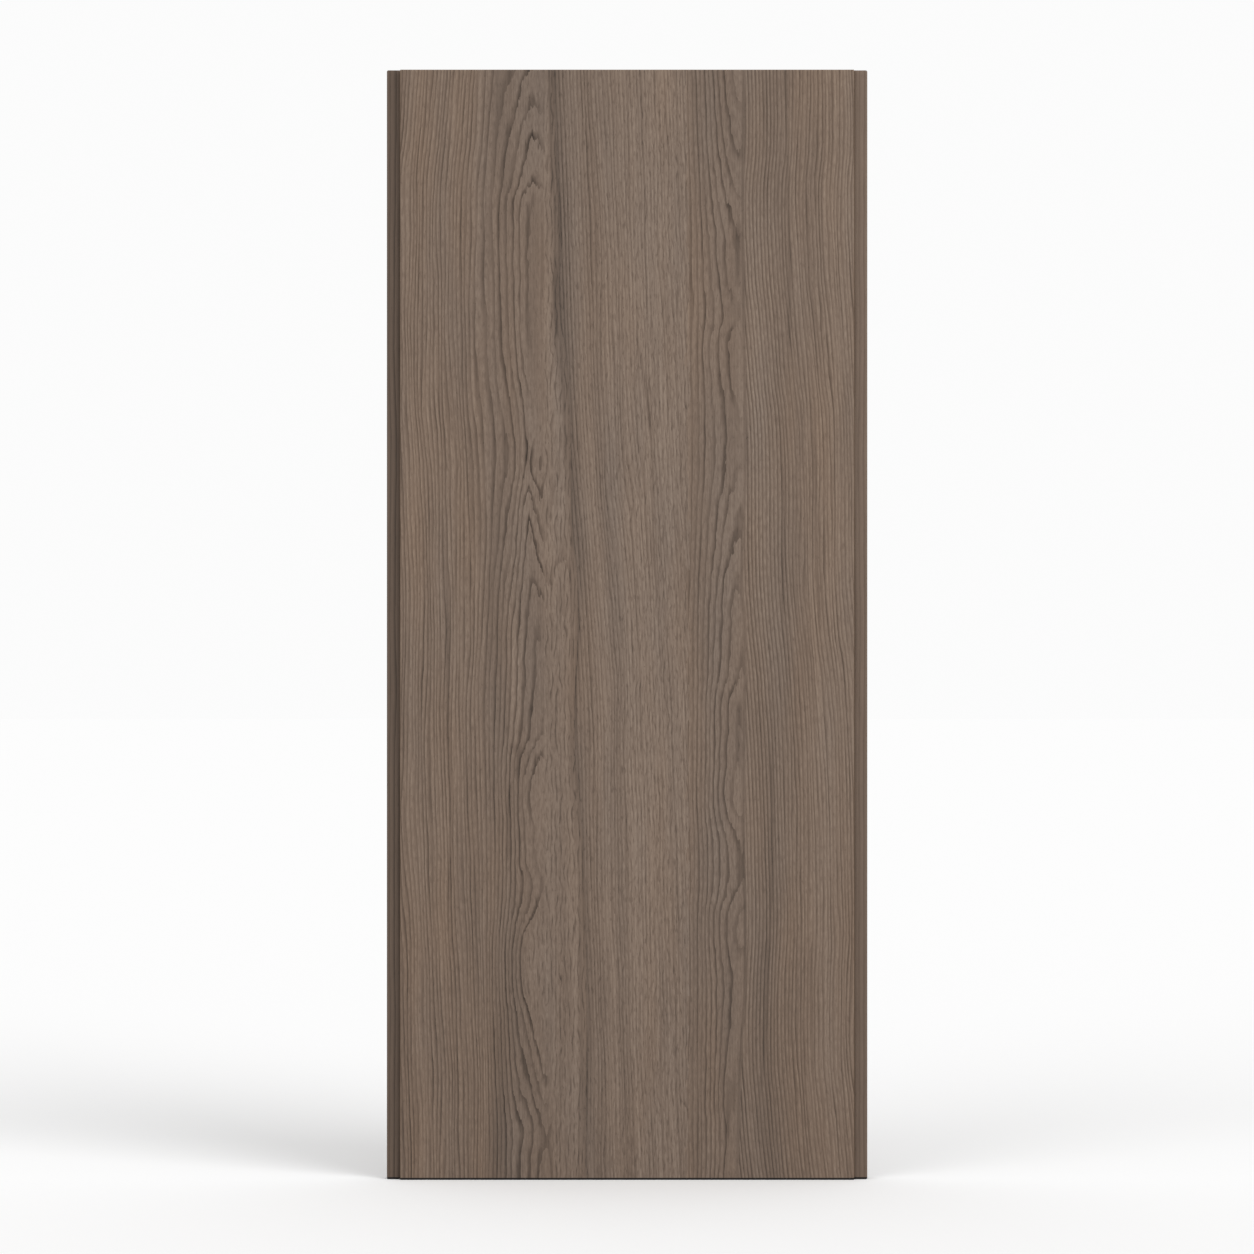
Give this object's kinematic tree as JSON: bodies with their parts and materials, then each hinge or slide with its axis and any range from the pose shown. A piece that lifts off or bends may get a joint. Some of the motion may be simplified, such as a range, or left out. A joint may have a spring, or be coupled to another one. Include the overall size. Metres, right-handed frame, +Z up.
{
  "type": "rebated flush interior door leaf",
  "caption": "Flat wood-veneered interior door leaf with a tubular board core, a timber frame and solid edge strips rebated along both long edges.",
  "frame": {"origin": "middle of the foot, on the floor, halfway across the width and the thickness", "axes": "+Z up the leaf, +X to the right seen from the front, +Y from the front to the back"},
  "size_m": [0.86, 0.04, 1.985],
  "materials": {
    "face_veneer": "matt, stained grey-brown oak",
    "edge_oak": "matt, stained grey-brown oak, a shade darker",
    "fibreboard": "raw brown fibreboard",
    "frame_softwood": "raw planed softwood",
    "tube_board": "raw extruded chipboard"
  },
  "bodies": {
    "root": {"front_veneer": "face_veneer", "back_veneer": "face_veneer", "front_crossband": "fibreboard", "back_crossband": "fibreboard", "left_lipping": "edge_oak", "right_lipping": "edge_oak", "left_stile": "frame_softwood", "right_stile": "frame_softwood", "top_rail": "frame_softwood", "bottom_rail": "frame_softwood", "left_lock_block": "frame_softwood", "right_lock_block": "frame_softwood", "lower_core": "tube_board", "middle_core": "tube_board", "upper_core": "tube_board"}
  },
  "joints": []
}
